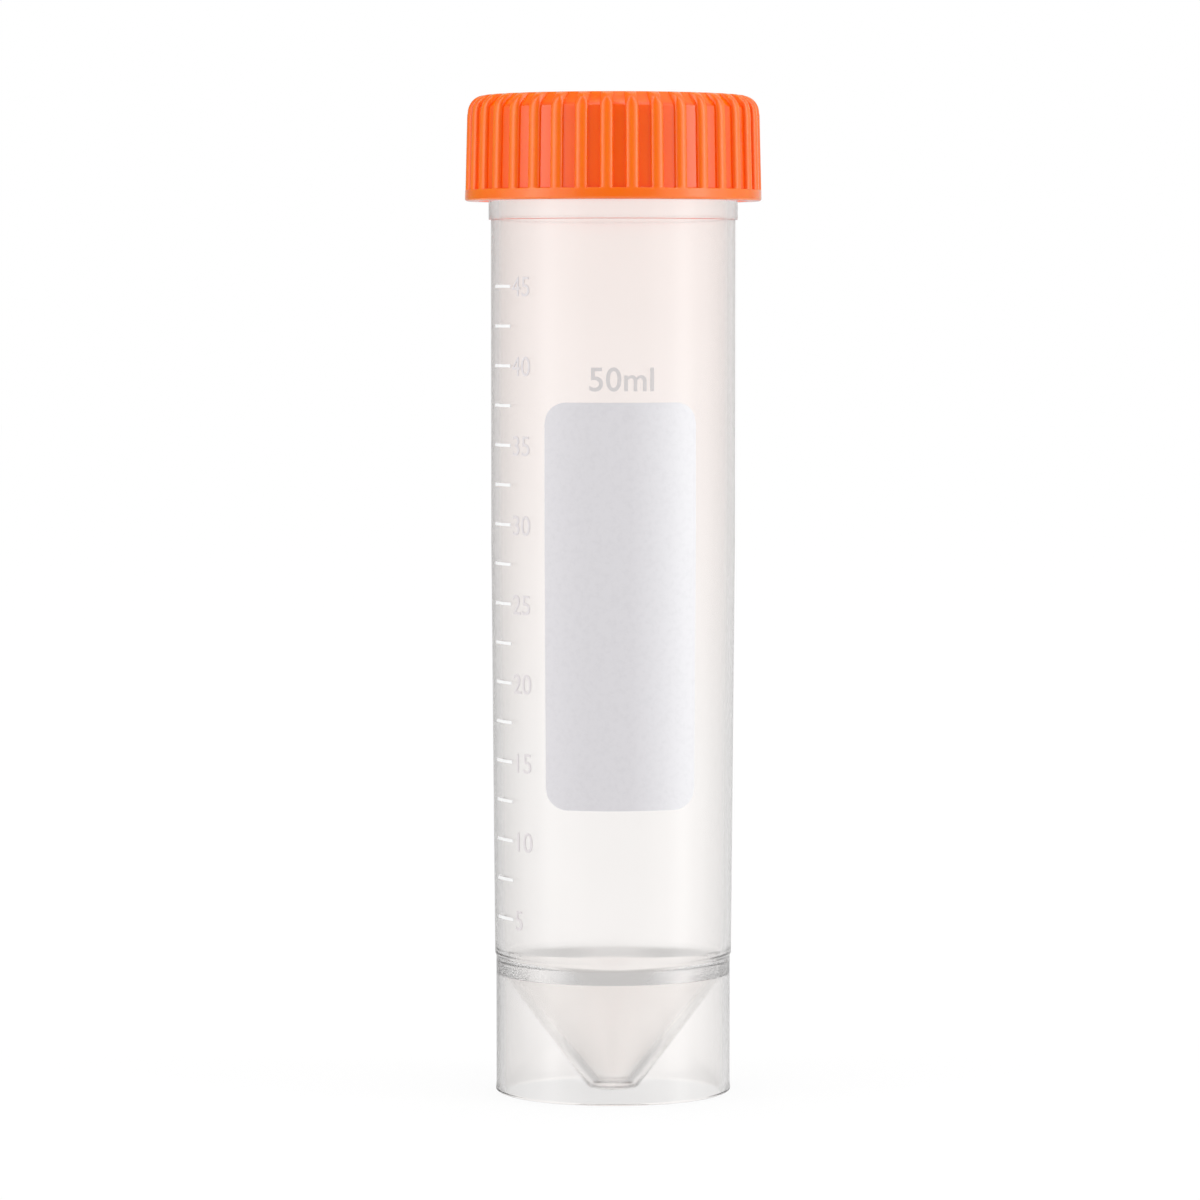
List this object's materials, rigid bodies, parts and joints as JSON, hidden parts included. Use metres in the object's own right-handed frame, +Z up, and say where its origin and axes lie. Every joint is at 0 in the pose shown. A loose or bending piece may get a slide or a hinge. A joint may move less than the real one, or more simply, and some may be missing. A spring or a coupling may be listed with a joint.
{
  "type": "conical tube",
  "caption": "Self-standing conical sample tube with a ribbed screw cap, a skirt round its pointed base, a writing panel and volume marks.",
  "frame": {"origin": "centre of the skirt's foot, where the tube stands", "axes": "+Z up the tube's axis to the cap; the print faces -Y"},
  "size_m": [0.0346, 0.0346, 0.1168],
  "materials": {
    "clear_plastic": "natural translucent polypropylene, smooth",
    "orange_plastic": "moulded orange polypropylene, satin",
    "seal_rubber": "soft pale sealing disc",
    "panel_ink": "matte pale grey ink that takes a pen",
    "mark_ink": "white ink lines"
  },
  "bodies": {
    "tube": {"tube": "clear_plastic", "writing_panel": "panel_ink", "volume_marks": "mark_ink"},
    "seal": {"sealing_disc": "seal_rubber"},
    "cap": {"cap": "orange_plastic"}
  },
  "joints": [
    {"name": "cap_rise", "type": "slide", "parent": "tube", "child": "seal", "axis": [0, 0, 1], "range_m": [0, 0.015]},
    {"name": "cap_turn", "type": "hinge", "parent": "seal", "child": "cap", "pos_m": [0, 0, 0.11], "axis": [0, 0, 1], "range_deg": [0, 1800]}
  ],
  "couplings": [
    {"joint": "cap_turn", "follows": "cap_rise", "rad_per_m": 2094.4}
  ]
}
